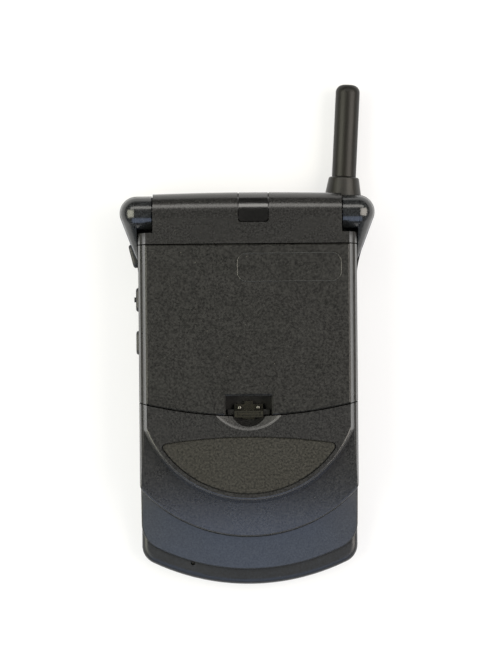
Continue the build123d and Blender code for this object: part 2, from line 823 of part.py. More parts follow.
def antenna_sheath():
    """Moulded stub over the coil at the antenna's outer end."""
    sheath = Pos(0, 0, sheath_length / 2) * Cylinder(sheath_radius, sheath_length)
    sheath = antenna_axis() * fillet(sheath.edges().group_by(Axis.Z)[-1], sheath_round)
    return sheath - antenna_bar(whip_radius + whip_seat_fit, 0, whip_seat)


def antenna_whip():
    """Sliding rod of the antenna, with an end stop that can't pass the collar."""
    low = whip_seat - whip_length
    return antenna_bar(whip_radius, low, whip_seat) + antenna_bar(stop_radius, low, low + stop_length)


# ---- lid ----
def lid_plan(top_y, shrink=0):
    """Plan of the lid, optionally inset."""
    return chin_plan(half_width - shrink, top_y, lid_tip_y + shrink, lid_tip_radius - shrink, lid_corner)


def side_facets():
    """Space outside the three long facets on each side of the lid and battery."""
    edge = half_width - facet_outer
    crest = edge - facet_middle
    face = crest - facet_inner
    outside = half_width + wall
    section = Plane.XZ * make_face(Polyline(
        (half_width, facet_low_z), (edge, facet_mid_z), (crest, facet_high_z), (face, top_z),
        (face, top_z + wall), (outside, top_z + wall), (outside, facet_low_z), (half_width, facet_low_z)))
    length = shoulder_y - lid_tip_y + 2 * wall
    return both_sides(Pos(0, lid_tip_y - wall, 0) * extrude(section, length, dir=(0, 1, 0)))


def lid_screw_places():
    """Plan positions of the screws that hold the inner cover to the lid shell."""
    return [(side * x, y) for side in (-1, 1)
            for x, y in ((lid_screw_x, lid_screw_y), (lid_tip_screw_x, lid_tip_screw_y))]


def lid_cover():
    """Inner cover of the lid, with the slots for the earpiece."""
    cover = prism(lid_plan(shoulder_y), lid_low_z, shell_low_z)
    cover -= bar_x(barrel_mid_radius + seat_gap, -half_width, half_width)
    for index in range(slot_count):
        y = earpiece_y + (index - (slot_count - 1) / 2) * slot_pitch
        cover -= Pos(0, y, 0) * prism(SlotOverall(slot_length, slot_width), lid_low_z, shell_low_z)
    for x, y in lid_screw_places():
        cover -= bar_z(lid_screw_radius + seat_gap, x, y, lid_low_z, shell_low_z)
        cover -= bar_z(lid_screw_head + seat_gap, x, y, lid_low_z, lid_low_z + lid_screw_head_height + seat_gap)
    return cover


def lid_screws():
    """Four small screws that hold the inner cover."""
    screws = []
    for x, y in lid_screw_places():
        top = lid_low_z + seat_gap + lid_screw_head_height
        head = bar_z(lid_screw_head, x, y, lid_low_z + seat_gap, top)
        shank = bar_z(lid_screw_radius, x, y, top, lid_low_z + lid_screw_length)
        socket = Pos(x, y, lid_low_z + seat_gap) * extrude(RegularPolygon(lid_screw_radius, 6),
                                                           lid_screw_head_height - seat_gap)
        screws.append(head + shank - socket)
    return Compound(children=screws)


def raised_panel():
    """Raised middle of the lid, whose round end has a steep side."""
    section = make_face(Polyline((0, shell_low_z), (panel_foot, shell_low_z), (panel_foot, panel_foot_z),
                                 (panel_radius, top_z), (0, top_z), (0, shell_low_z)))
    drum = Pos(0, panel_centre_y, 0) * revolve(Plane.XZ * section, Axis.Z)
    drum = fillet(drum.edges().group_by(Axis.Z)[-1], panel_round)
    return drum + block(-half_width, half_width, panel_centre_y, neck_y, shell_low_z, top_z)


def lid_ledge():
    """Body of the lid under the raised panel, with the crescent ledge that bows down to the lid's end."""
    bow = TangentArc((ledge_start_y, ledge_high_z), (lid_tip_y, ledge_low_z), tangent=(-1, 0))
    rest = Polyline((lid_tip_y, ledge_low_z), (lid_tip_y, shell_low_z), (neck_y, shell_low_z),
                    (neck_y, ledge_high_z), (ledge_start_y, ledge_high_z))
    section = Pos(-half_width, 0, 0) * (Plane.YZ * make_face(bow + rest))
    ledge = extrude(section, 2 * half_width, dir=(1, 0, 0)) & prism(lid_plan(neck_y), shell_low_z, ledge_high_z)
    rim = ledge.edges().filter_by(lambda edge: edge.center().Z > ledge_low_z - ledge_round
                                  and edge.center().Y < ledge_start_y)
    return fillet(rim, ledge_round)


def nameplate_plan(grow=0):
    """Lens-shaped plan of the nameplate, with rounded tips."""
    bottom = Pos(0, panel_centre_y) * Circle(plate_radius + grow)
    top = Pos(0, plate_top_y - plate_bow_radius) * Circle(plate_bow_radius + grow)
    lens = bottom & top
    return fillet(lens.vertices(), plate_tip_round + grow)


def lid_shell():
    """Outer shell of the lid: battery bay, raised panel and ledge."""
    shell = lid_ledge() + (raised_panel() & prism(lid_plan(neck_y), shell_low_z, top_z))
    shell -= side_facets()
    shell -= prism(bowed_plan(half_width, neck_y, battery_low_y, battery_low_radius), battery_floor_z, top_z)
    shell -= finger_scoop()
    shell -= prism(nameplate_plan(plate_groove), top_z - plate_thickness, top_z)
    inside = prism(lid_plan(neck_y - lid_skin, lid_skin), shell_low_z, top_z - panel_skin)
    panel_hollow = bar_z(panel_radius - lid_skin, 0, panel_centre_y, shell_low_z, top_z - panel_skin)
    panel_hollow &= block(-half_width, half_width, lid_tip_y, pocket_centre_y - pocket_radius - lid_skin,
                          shell_low_z, top_z)
    bay_hollow = block(-half_width, half_width, panel_centre_y - panel_radius + lid_skin, neck_y,
                       shell_low_z, battery_floor_z - bay_floor)
    shell -= inside & (bay_hollow + panel_hollow)
    shell -= block(flex_left_x - seat_gap, flex_right_x + seat_gap, neck_y - lid_skin, neck_y,
                   shell_low_z, flex_low_z + flex_sheet + seat_gap)
    for x, y in lid_screw_places():
        shell += bar_z(lid_boss, x, y, shell_low_z, battery_floor_z - bay_floor)
        shell -= bar_z(lid_screw_radius + seat_gap, x, y, shell_low_z, lid_low_z + lid_screw_length + seat_gap)
    for x in pad_places():
        shell -= block(x - contact_half_x - seat_gap, x + contact_half_x + seat_gap,
                       pad_y - contact_half_y - seat_gap, pad_y + contact_half_y + seat_gap,
                       battery_floor_z - bay_floor, battery_floor_z)
    return shell


def finger_scoop():
    """Space of the shallow round dish for a fingertip, and of the deeper pocket for the latch."""
    floor = top_z - scoop_rim_depth
    rim = Pos(0, scoop_centre_y, (floor + top_z) / 2) * Cone(scoop_radius - scoop_rim_width, scoop_radius,
                                                             scoop_rim_depth)
    rise = sqrt(scoop_sphere ** 2 - (scoop_radius - scoop_rim_width) ** 2)
    dish = Pos(0, scoop_centre_y, floor + rise) * Sphere(scoop_sphere)
    dish &= bar_z(scoop_radius - scoop_rim_width, 0, scoop_centre_y, pocket_floor_z, floor)
    return rim + dish + bar_z(pocket_radius, 0, pocket_centre_y, pocket_floor_z, top_z)


def nameplate():
    """Bare lens-shaped plate let into the raised panel."""
    plate = prism(nameplate_plan(), top_z - plate_thickness, top_z)
    return chamfer(plate.edges().group_by(Axis.Z)[-1], plate_edge)


def neck_section(radius):
    """Section across the barrel and its neck, whose flat top runs on to the barrel without a step."""
    reach = Vector(hinge_y - neck_y, top_z - hinge_z)
    fall = asin(reach.Y / reach.length) - asin(radius / reach.length)
    run = sqrt(reach.length ** 2 - radius ** 2)
    touch = (neck_y + run * cos(fall), top_z - run * sin(fall))
    under_z = max(shell_low_z, hinge_z - radius * cos(pi / 6))
    under = (hinge_y - sqrt(radius ** 2 - (hinge_z - under_z) ** 2), under_z)
    far = (hinge_y + radius * cos(pi / 6), hinge_z - radius * sin(pi / 6))
    neck = Polyline(under, (neck_y, shell_low_z), (neck_y, top_z), touch)
    return Plane.YZ * make_face(neck + ThreePointArc(touch, far, under))


def barrel_and_neck():
    """Outer form of the crowned barrel and the neck that joins it to the lid."""
    end = neck_section(barrel_end_radius)
    body = loft([Pos(-barrel_half, 0, 0) * end, neck_section(barrel_mid_radius), Pos(barrel_half, 0, 0) * end])
    shoulders = Pos(-half_width, 0, 0) * extrude(end, 2 * half_width, dir=(1, 0, 0))
    shoulders &= block(-half_width, half_width, neck_y, shoulder_y, shell_low_z, top_z)
    return body + shoulders - side_facets()


def status_opening(gap):
    """Space that the status window takes in the barrel's skin, grown by a gap."""
    opening = block(status_left_x - gap, status_right_x + gap, status_low_y - gap,
                    hinge_y + 2 * barrel_mid_radius, hinge_z - status_wrap - gap, top_z + wall)
    low = opening.edges().filter_by(Axis.Z).sort_by(Axis.Y)[:2]
    opening = fillet(low, status_corner)
    return opening - bar_x(barrel_mid_radius - status_thickness - gap, -barrel_half, barrel_half)


def hinge_barrel():
    """Barrel and neck of the lid, bored for the pin, the cartridge and the rolled flex."""
    barrel = barrel_and_neck()
    barrel -= status_opening(status_gap)
    barrel -= bar_x(pin_radius + pin_fit, -barrel_half, -knuckle_x + pin_length + part_gap)
    barrel -= bar_x(cartridge_radius + seat_gap, cartridge_x - seat_gap, barrel_half)
    barrel -= bar_x(flex_outer + flex_room, flex_left_x - flex_room, flex_right_x + flex_room)
    left_x = flex_left_x - seat_gap
    right_x = flex_right_x + seat_gap
    high_y = hinge_y - flex_inner + seat_gap
    barrel -= block(left_x, right_x, neck_y, high_y, shell_low_z, flex_low_z + flex_sheet + seat_gap)
    return barrel - block(left_x, right_x, hinge_y - flex_outer - seat_gap, high_y, shell_low_z, hinge_z)


def status_window():
    """Glossy window over the status light, wrapped round the barrel."""
    return barrel_and_neck() & status_opening(0)


def hinge_cartridge():
    """Friction cartridge pressed into the barrel."""
    cartridge = bar_x(cartridge_radius, cartridge_x, cartridge_x + cartridge_length)
    cartridge -= bar_x(shaft_radius + pin_fit, knuckle_x - shaft_length - part_gap,
                       cartridge_x + cartridge_length)
    return cartridge - bar_x(washer_radius + seat_gap, cartridge_x + washer_start - seat_gap,
                             cartridge_x + washer_start + washer_count * washer_pitch)


def hinge_washers():
    """Stack of coned spring washers that load the hinge."""
    washers = []
    for index in range(washer_count):
        start = cartridge_x + washer_start + index * washer_pitch
        section = make_face(Polyline((start + washer_cone, washer_bore), (start, washer_radius),
                                     (start + washer_sheet, washer_radius),
                                     (start + washer_cone + washer_sheet, washer_bore),
                                     (start + washer_cone, washer_bore)))
        washers.append(Pos(0, hinge_y, hinge_z) * revolve(section, Axis.X))
    return Compound(children=washers)


def hinge_flex():
    """Flexible circuit, rolled up in the barrel and lapped on to the lid board."""
    roll = bar_x(flex_outer, flex_left_x, flex_right_x) - bar_x(flex_inner, flex_left_x, flex_right_x)
    high_y = hinge_y - flex_inner
    strip = block(flex_left_x, flex_right_x, lid_board_high_y - flex_lap, high_y,
                  flex_low_z, flex_low_z + flex_sheet)
    rise = block(flex_left_x, flex_right_x, high_y - flex_sheet, high_y, flex_low_z, hinge_z)
    return roll + strip + rise


def lid_board():
    """Narrow circuit board under the battery bay."""
    return block(-lid_board_half, lid_board_half, lid_board_low_y, lid_board_high_y, shell_low_z, flex_low_z)


def earpiece():
    """Round earpiece behind the slots of the inner cover."""
    case = bar_z(earpiece_radius, 0, earpiece_y, shell_low_z, shell_low_z + earpiece_height)
    return fillet(case.edges().group_by(Axis.Z)[-1], ringer_lip)


def pad_places():
    """Sideways positions of the battery's contacts."""
    return [(index - (pad_count - 1) / 2) * pad_pitch for index in range(pad_count)]


def battery_contacts():
    """Four sprung contacts on the lid board, under the battery's pads."""
    contacts = []
    for x in pad_places():
        contact = block(x - contact_half_x, x + contact_half_x, pad_y - contact_half_y, pad_y + contact_half_y,
                        flex_low_z, battery_floor_z)
        top = contact.edges().group_by(Axis.Z)[-1].filter_by(Axis.X)
        contacts.append(fillet(top, contact_half_x))
    return Compound(children=contacts)


# ---- battery ----
def battery_plan():
    """Plan of the battery, inside the bay of the lid."""
    return bowed_plan(half_width, neck_y - battery_gap, battery_low_y + battery_gap, battery_low_radius)


def cell_limits():
    """Sideways limit, lower end and upper end of the room for the cells."""
    return half_width - cell_side_room, cell_low_y, neck_y - battery_gap - battery_wall - cell_gap


def battery_case():
    """Moulded cover of the battery, with the latch notch and a shallow blank panel outline."""
    case = prism(battery_plan(), case_low_z, top_z)
    case -= side_facets()
    ends = case.edges().group_by(Axis.Z)[-1].filter_by(lambda edge: edge.length > half_width)
    case = chamfer(ends, battery_edge)
    half_x, low_y, high_y = cell_limits()
    case -= block(-half_x - cell_gap, half_x + cell_gap, low_y - cell_gap, high_y + cell_gap,
                  case_low_z, top_z - battery_wall)
    case -= block(-notch_half, notch_half, battery_low_y - notch_half, notch_top_y, case_low_z, top_z)
    rim = case.edges().group_by(Axis.Z)[-1].filter_by(
        lambda edge: abs(edge.center().X) < notch_half + battery_gap
        and battery_low_y + battery_gap < edge.center().Y < low_y)
    case = chamfer(rim, notch_bevel)
    case -= block(-spring_half - spring_room, spring_half + spring_room, notch_top_y - spring_room,
                  notch_top_y + latch_room, case_low_z, case_low_z + spring_height + 2 * spring_room)
    height = label_high_y - label_low_y
    x = label_right_x - label_width / 2
    y = (label_low_y + label_high_y) / 2
    groove = rounded_plate(x, y, label_width, height, label_corner, top_z - label_depth, top_z)
    groove -= rounded_plate(x, y, label_width - 2 * label_groove, height - 2 * label_groove,
                            label_corner - label_groove, top_z - label_depth, top_z)
    return case - groove


def battery_base():
    """Floor of the battery, with pockets for the pads and two guides beside the latch."""
    base = prism(battery_plan(), battery_low_z, case_low_z)
    for x in pad_places():
        base -= block(x - contact_half_y, x + contact_half_y, pad_y - pad_reach, pad_y + pad_reach,
                      battery_low_z, battery_low_z + pad_thickness)
    guide_x = latch_half + seat_gap
    guide = block(guide_x, guide_x + latch_guide_width, latch_low_y,
                  latch_bar_low_y + latch_bar_width + part_gap, case_low_z, latch_guide_z)
    return base + both_sides(guide)


def battery_pads():
    """Four flat pads in the battery's floor, over the lid's contacts."""
    pads = [block(x - contact_half_y + seat_gap, x + contact_half_y - seat_gap, pad_y - pad_reach + seat_gap,
                  pad_y + pad_reach - seat_gap, battery_low_z, battery_low_z + pad_thickness)
            for x in pad_places()]
    return Compound(children=pads)


def battery_cells():
    """Flat cells side by side in the battery."""
    half_x, low_y, high_y = cell_limits()
    width = (2 * half_x - (cell_count - 1) * cell_gap) / cell_count
    cells = []
    for index in range(cell_count):
        x = -half_x + index * (width + cell_gap)
        cell = block(x, x + width, low_y, high_y, case_low_z, case_low_z + cell_thickness)
        cells.append(fillet(cell.edges().filter_by(Axis.Y), cell_round))
    return Compound(children=cells)


def latch_spring():
    """Bowed leaf that pushes the latch towards the lid's panel."""
    foot_y = notch_top_y + latch_room - seat_gap
    outer = ThreePointArc((-spring_half, foot_y), (0, foot_y - spring_bow), (spring_half, foot_y))
    inner = ThreePointArc((spring_half, foot_y - spring_strip),
                          (0, foot_y - spring_bow - spring_strip), (-spring_half, foot_y - spring_strip))
    ends = Line((spring_half, foot_y), (spring_half, foot_y - spring_strip)) + Line(
        (-spring_half, foot_y - spring_strip), (-spring_half, foot_y))
    low_z = case_low_z + seat_gap
    return prism(make_face(outer + inner + ends), low_z, low_z + spring_height)


def battery_latch():
    """Latch slide: a plate with a tail for the spring, and a recessed finger bar with a tooth."""
    low_z = case_low_z + seat_gap
    plate_z = low_z + latch_plate_thickness
    bar_high_y = latch_bar_low_y + latch_bar_width
    plate_high_y = latch_low_y + latch_plate_width
    latch = block(-latch_half, latch_half, latch_low_y, plate_high_y, low_z, plate_z)
    latch += block(-latch_tail_half, latch_tail_half, plate_high_y, plate_high_y + latch_tail_length,
                   low_z, plate_z)
    latch += block(-latch_half, latch_half, latch_low_y, bar_high_y, low_z, latch_bar_z)
    latch += block(-latch_half, latch_half, latch_bar_low_y, bar_high_y, latch_bar_low_z, latch_bar_z)
    latch += block(-tooth_half, tooth_half, latch_bar_low_y - tooth_length, latch_bar_low_y,
                   latch_bar_low_z, tooth_high_z)
    latch -= block(latch_cheek - latch_half, latch_half - latch_cheek, latch_bar_low_y + latch_lip,
                   bar_high_y - latch_lip, latch_bar_z - latch_recess, latch_bar_z)
    rib_y = latch_bar_low_y + latch_lip + latch_rib_inset
    return latch + block(-latch_rib_half, latch_rib_half, rib_y, rib_y + latch_rib_width,
                         latch_bar_z - latch_recess, latch_bar_z)


def latch_studs():
    """Two metal studs riveted to the latch plate."""
    top_z_of_plate = case_low_z + seat_gap + latch_plate_thickness
    y = (latch_bar_low_y + latch_bar_width + latch_low_y + latch_plate_width) / 2
    studs = []
    for x in (-stud_x, stud_x):
        stud = bar_z(stud_radius, x, y, top_z_of_plate, top_z_of_plate + stud_height)
        studs.append(fillet(stud.edges().group_by(Axis.Z)[-1], stud_radius / 2))
    return Compound(children=studs)


def all_nodes():
    """Every sub-part by name."""
    makers = (rear_housing, front_housing, hinge_pin, hinge_shaft, main_board, shield_cans, display_module,
              display_window, keypad_membrane, side_switches, microphone, ringer, vibration_motor, headset_jack,
              accessory_connector, connector_contacts, housing_screws, antenna_collar, whip_guide,
              antenna_sheath, antenna_whip, lid_cover, lid_screws, lid_shell, nameplate, hinge_barrel,
              status_window, hinge_cartridge, hinge_washers, hinge_flex, lid_board, earpiece,
              battery_contacts, battery_case, battery_base, battery_pads, battery_cells, latch_spring,
              battery_latch, latch_studs)
    nodes = {maker.__name__: maker() for maker in makers}
    for name, place in zip(("upper", "middle", "lower"), side_button_places()):
        nodes[name + "_side_button"] = side_button(place, name == "middle")
    for name, size in key_places().items():
        nodes[name] = key(*size)
    return nodes


os.makedirs("parts", exist_ok=True)
for name, shape in all_nodes().items():
    export_step(shape, "parts/" + name + ".step")
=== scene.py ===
import bmesh
import bpy
import math
from mathutils import Matrix, Vector


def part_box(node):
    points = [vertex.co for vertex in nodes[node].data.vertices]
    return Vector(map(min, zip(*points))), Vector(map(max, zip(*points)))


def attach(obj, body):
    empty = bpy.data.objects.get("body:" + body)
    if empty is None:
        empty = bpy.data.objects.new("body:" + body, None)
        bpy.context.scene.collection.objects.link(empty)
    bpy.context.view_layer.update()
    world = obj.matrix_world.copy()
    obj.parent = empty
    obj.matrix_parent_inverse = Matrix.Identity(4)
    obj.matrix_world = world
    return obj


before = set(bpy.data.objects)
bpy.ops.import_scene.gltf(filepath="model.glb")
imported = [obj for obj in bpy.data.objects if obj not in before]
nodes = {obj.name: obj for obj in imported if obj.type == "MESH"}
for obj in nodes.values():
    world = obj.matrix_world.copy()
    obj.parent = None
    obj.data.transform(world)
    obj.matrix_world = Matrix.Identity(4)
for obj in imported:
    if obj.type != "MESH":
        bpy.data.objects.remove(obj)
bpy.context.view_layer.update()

MM = 0.001


# ---- Base housings ----
# The two halves of the base and the lid's inner cover are injection-moulded ABS/PC, nearly black. The
# tools are spark eroded, which leaves a fine, even grain. It is smoother high up on the ears and the
# chin, where hands rub, and the back half is duller.
def srgb(code):
    """Linear colour of an sRGB hex code."""
    parts = [int(code[place:place + 2], 16) / 255 for place in (0, 2, 4)]
    return [part / 12.92 if part <= 0.04045 else ((part + 0.055) / 1.055) ** 2.4 for part in parts] + [1.0]


def add(owner, kind, values={}, links={}, **settings):
    """Adds a shader node to a material or the world, with its settings, its fixed values and its links.
    Sockets go by name, or by number where names repeat: on a Mix node 0 is the factor, 2 and 3 are
    numbers, and 6 and 7 are colours."""
    node = owner.node_tree.nodes.new("ShaderNode" + kind)
    for name, value in settings.items():
        setattr(node, name, value)
    for socket, value in values.items():
        node.inputs[socket].default_value = value
    for socket, source in links.items():
        owner.node_tree.links.new(source, node.inputs[socket])
    return node


def new_material(name):
    """An empty material, and the place on the piece that its patterns read."""
    material = bpy.data.materials.new(name)
    material.use_nodes = True
    material.node_tree.nodes.clear()
    place = add(material, "TexCoord").outputs["Object"]
    return material, place


def finish_with(material, shader):
    """Links the shader to the material's output."""
    add(material, "OutputMaterial", links={"Surface": shader})
    return material


def moulded(name, dark, light, rough, grain=0.42, dust=0.5, relief=0.35, gloss=0.5, polish=None):
    """Moulded plastic with faint mottling, rubbed patches and a little dust. Its spark grain is in
    millimetres, and coarser than the real one so that it shows. The polish is the axis and the place in
    millimetres beyond which the surface is smooth, and its roughness there."""
    mottle_size = 9 * MM
    dust_pitch = 3.6 * MM
    speck_core, speck_edge = 0.016, 0.034    # shares of the dust's pitch
    grain_depth = 0.03 * MM
    polished_depth = 0.01 * MM
    polish_blend = 0.5 * MM
    material, place = new_material(name)
    speckle = add(material, "TexNoise", {"Scale": 1 / (grain * MM), "Detail": 2.0, "Roughness": 0.7},
                  {"Vector": place}).outputs["Fac"]
    mottle = add(material, "TexNoise", {"Scale": 1 / mottle_size, "Detail": 3.0, "Roughness": 0.6},
                 {"Vector": place}).outputs["Fac"]
    both = add(material, "Mix", {0: 0.08}, {2: speckle, 3: mottle}, data_type="FLOAT").outputs[0]
    spread = add(material, "MapRange", {"From Min": 0.34, "From Max": 0.66}, {"Value": both})
    tint = add(material, "Mix", {6: srgb(dark), 7: srgb(light)}, {0: spread.outputs["Result"]},
               data_type="RGBA").outputs[2]
    specks = add(material, "TexVoronoi", {"Scale": 1 / dust_pitch, "Randomness": 1.0}, {"Vector": place})
    near = add(material, "MapRange", {"From Min": speck_core, "From Max": speck_edge, "To Min": dust,
                                      "To Max": 0.0},
               {"Value": specks.outputs["Distance"]}).outputs["Result"]
    dusty = add(material, "Mix", {7: srgb("6E6C64")}, {0: near, 6: tint}, data_type="RGBA").outputs[2]
    rubbed = add(material, "MapRange", {"From Min": 0.3, "From Max": 0.7, "To Min": rough + 0.02,
                                        "To Max": rough - 0.03}, {"Value": mottle}).outputs["Result"]
    bump = add(material, "Bump", {"Strength": relief, "Distance": grain_depth}, {"Height": speckle})
    if polish:
        axis, edge, shine = polish
        along = add(material, "SeparateXYZ", {}, {"Vector": place}).outputs[axis]
        smooth = add(material, "MapRange", {"From Min": edge * MM - polish_blend,
                                            "From Max": edge * MM + polish_blend},
                     {"Value": along}).outputs["Result"]
        rubbed = add(material, "Mix", {3: shine}, {0: smooth, 2: rubbed}, data_type="FLOAT").outputs[0]
        depth = add(material, "MapRange", {"To Min": grain_depth, "To Max": polished_depth},
                    {"Value": smooth})
        material.node_tree.links.new(depth.outputs["Result"], bump.inputs["Distance"])
    shader = add(material, "BsdfPrincipled", {"IOR": 1.5, "Specular IOR Level": gloss},
                 {"Base Color": dusty, "Roughness": rubbed, "Normal": bump.outputs["Normal"]})
    return finish_with(material, shader.outputs["BSDF"])


def dress(material, *names):
    """Gives CAD nodes their material."""
    for name in names:
        for place in nodes[name].material_slots:
            place.material = material


base_abs = moulded("moulded_abs_base", "0E0F10", "242628", rough=0.31, dust=0.45, relief=0.45,
                   polish=("Z", 10.0, 0.2))
dress(base_abs, "front_housing", "lid_cover")
tray_abs = moulded("matt_abs_tray", "090A0D", "16191E", rough=0.42, dust=0.35, relief=0.45, gloss=0.4)
dress(tray_abs, "rear_housing")


# ---- Hinge pin, shaft, cartridge and washers ----
# The pin and the shaft are turned steel rods, the cartridge is a turned sleeve and the washers are
# coned spring steel. They are blackened, with fine lathe rings round the hinge axis.
wave_rate = 20 / (2 * math.pi)    # bands in one unit of a wave texture whose scale is 1


def turned_metal(name, colour, rough, spacing, axis):
    """Turned, drawn or rolled metal with shallow marks across an axis. Their spacing is in millimetres,
    and wider than the real one so that they show. On a flat face, DIAGONAL marks lie 1.4 times as far
    apart."""
    stain_size = 2 * MM
    mark_depth = 0.005 * MM
    material, place = new_material(name)
    marks = add(material, "TexWave", {"Scale": 1 / (spacing * MM * wave_rate), "Distortion": 0.4,
                                      "Detail": 2.0}, {"Vector": place},
                wave_type="BANDS", bands_direction=axis).outputs["Fac"]
    stain = add(material, "TexNoise", {"Scale": 1 / stain_size, "Detail": 3.0},
                {"Vector": place}).outputs["Fac"]
    gloss = add(material, "MapRange", {"To Min": rough - 0.06, "To Max": rough + 0.08},
                {"Value": stain}).outputs["Result"]
    relief = add(material, "Bump", {"Strength": 0.15, "Distance": mark_depth}, {"Height": marks})
    shader = add(material, "BsdfPrincipled", {"Base Color": srgb(colour), "Metallic": 1.0},
                 {"Roughness": gloss, "Normal": relief.outputs["Normal"]})
    return finish_with(material, shader.outputs["BSDF"])


hinge_steel = turned_metal("blackened_turned_steel", "3A3A3A", rough=0.3, spacing=0.754, axis="X")
dress(hinge_steel, "hinge_pin", "hinge_shaft", "hinge_cartridge", "hinge_washers")


# ---- Screws, latch spring and antenna whip ----
# Blackened machine screws hold the housings and the inner cover, a bowed leaf of blued steel loads
# the latch, and the whip is a blackened rod of drawn spring steel. All are dark with a soft shine.
screw_steel = turned_metal("black_zinc_plated_steel", "4E4E4E", rough=0.4, spacing=1.257, axis="Z")
dress(screw_steel, "housing_screws", "lid_screws")
blued_steel = turned_metal("blued_spring_steel", "2C2D31", rough=0.35, spacing=1.257, axis="X")
dress(blued_steel, "latch_spring")
whip_steel = turned_metal("blackened_drawn_steel_rod", "38383A", rough=0.34, spacing=1.885, axis="Y")
dress(whip_steel, "antenna_whip")


# ---- Circuit boards and the parts on them ----
# Both boards are glass-epoxy with green solder mask over etched tracks. The shield cans, microphone
# and vibration motor are cased in tinned steel sheet. The switches, sockets, ringer and earpiece are
# black moulded nylon, and the contacts are gold-plated strip.
def solder_mask(name):
    """Green mask over tracks that run square to the board, drawn coarser than real ones so that they
    show."""
    track_unit = 4 * MM
    copper_height = 0.03 * MM
    material, place = new_material(name)
    tracks = add(material, "TexBrick", {"Scale": 1 / track_unit, "Mortar Size": 0.03, "Brick Width": 0.9,
                                        "Row Height": 0.22, "Color1": srgb("12402A"),
                                        "Color2": srgb("174A31"), "Mortar": srgb("2C6A48")},
                 {"Vector": place})
    relief = add(material, "Bump", {"Strength": 0.3, "Distance": copper_height},
                 {"Height": tracks.outputs["Fac"]}).outputs["Normal"]
    shader = add(material, "BsdfPrincipled", {"Roughness": 0.32, "IOR": 1.5},
                 {"Base Color": tracks.outputs["Color"], "Normal": relief})
    return finish_with(material, shader.outputs["BSDF"])


board_mask = solder_mask("glass_epoxy_board")
dress(board_mask, "main_board", "lid_board")
tinned_sheet = turned_metal("tinned_steel_sheet", "B4B5B2", rough=0.42, spacing=3.77, axis="DIAGONAL")
dress(tinned_sheet, "shield_cans", "microphone", "vibration_motor")
black_nylon = moulded("black_moulded_nylon", "060606", "0B0B0B", rough=0.5, grain=0.3, dust=0.1,
                      gloss=0.3)
dress(black_nylon, "side_switches", "headset_jack", "accessory_connector", "ringer", "earpiece")
contact_gold = turned_metal("gold_plated_spring_strip", "D9B35A", rough=0.28, spacing=0.942, axis="Y")
dress(contact_gold, "connector_contacts", "battery_contacts", "battery_pads")


# ---- Flexible circuit, guide tube and keypad membrane ----
# The flex is etched copper between dark polyimide films, rolled up in the barrel. The guide is a thin
# extruded tube of natural acetal, milky and slightly waxy, and the keypad's sheet of domes has the same
# milky look.
def polyimide_film(name):
    """Dark film with straight copper tracks faintly showing through, drawn coarser than real ones."""
    track_pitch = 5.027 * MM
    material, place = new_material(name)
    tracks = add(material, "TexWave", {"Scale": 1 / (track_pitch * wave_rate), "Distortion": 0.0},
                 {"Vector": place}, wave_type="BANDS", bands_direction="X").outputs["Fac"]
    tint = add(material, "Mix", {6: srgb("15120E"), 7: srgb("241C13")}, {0: tracks},
               data_type="RGBA").outputs[2]
    shader = add(material, "BsdfPrincipled", {"Roughness": 0.25, "IOR": 1.6}, {"Base Color": tint})
    return finish_with(material, shader.outputs["BSDF"])


flex_film = polyimide_film("polyimide_flex")
dress(flex_film, "hinge_flex")
natural_acetal = moulded("natural_acetal_tube", "C9C8BF", "D8D7CF", rough=0.4, grain=0.6, dust=0.0)
dress(natural_acetal, "whip_guide", "keypad_membrane")


# ---- Display ----
# The liquid-crystal panel sits in its frame under a clear acrylic window. Switched off, it is a
# greenish grey with the faint square grid of its cells.
def liquid_crystal(name):
    """Greenish-grey panel with a fine grid."""
    cell_size = 0.6 * MM
    material, place = new_material(name)
    cells = add(material, "TexBrick", {"Scale": 1 / cell_size, "Mortar Size": 0.06, "Brick Width": 1.0,
                                       "Row Height": 1.0, "Color1": srgb("76806A"),
                                       "Color2": srgb("7A846E"), "Mortar": srgb("6A745F")},
                {"Vector": place}, offset=0.0)
    shader = add(material, "BsdfPrincipled", {"Roughness": 0.3, "IOR": 1.5},
                 {"Base Color": cells.outputs["Color"]})
    return finish_with(material, shader.outputs["BSDF"])


def clear_acrylic(name, rough):
    """Clear polished plastic with a faint smear in its gloss."""
    smear_size = 6 * MM
    material, place = new_material(name)
    smear = add(material, "TexNoise", {"Scale": 1 / smear_size, "Detail": 4.0}, {"Vector": place})
    gloss = add(material, "MapRange", {"To Min": rough, "To Max": rough + 0.08},
                {"Value": smear.outputs["Fac"]})
    shader = add(material, "BsdfPrincipled", {"Base Color": srgb("E9EFEA"), "Transmission Weight": 1.0,
                                              "IOR": 1.49}, {"Roughness": gloss.outputs["Result"]})
    return finish_with(material, shader.outputs["BSDF"])


crystal_panel = liquid_crystal("liquid_crystal_panel")
dress(crystal_panel, "display_module")
window_acrylic = clear_acrylic("clear_acrylic_window", rough=0.02)
dress(window_acrylic, "display_window")


# ---- Keys ----
# Sixteen hard caps of dark polycarbonate stand through the front housing. Their marks are screen
# printed in pale ink: the dial's digits, star and hash, and plain signs on the four function keys.
key_names = [name for name in nodes if name.startswith("key_")]
key_caps = moulded("semi_gloss_polycarbonate_keys", "141516", "1B1C1D", rough=0.33, grain=0.5,
                   dust=0.15)
dress(key_caps, *key_names)


def printed_ink(name, code):
    """Matt ink with slightly uneven cover."""
    patch_size = 0.5 * MM
    thin_cover = 0.82    # brightness of the ink where it is thin
    material, place = new_material(name)
    cover = add(material, "TexNoise", {"Scale": 1 / patch_size, "Detail": 2.0}, {"Vector": place})
    worn = [part * thin_cover for part in srgb(code)[:3]] + [1.0]
    tint = add(material, "Mix", {6: srgb(code), 7: worn}, {0: cover.outputs["Fac"]},
               data_type="RGBA").outputs[2]
    shader = add(material, "BsdfPrincipled", {"Roughness": 0.6}, {"Base Color": tint})
    return finish_with(material, shader.outputs["BSDF"])


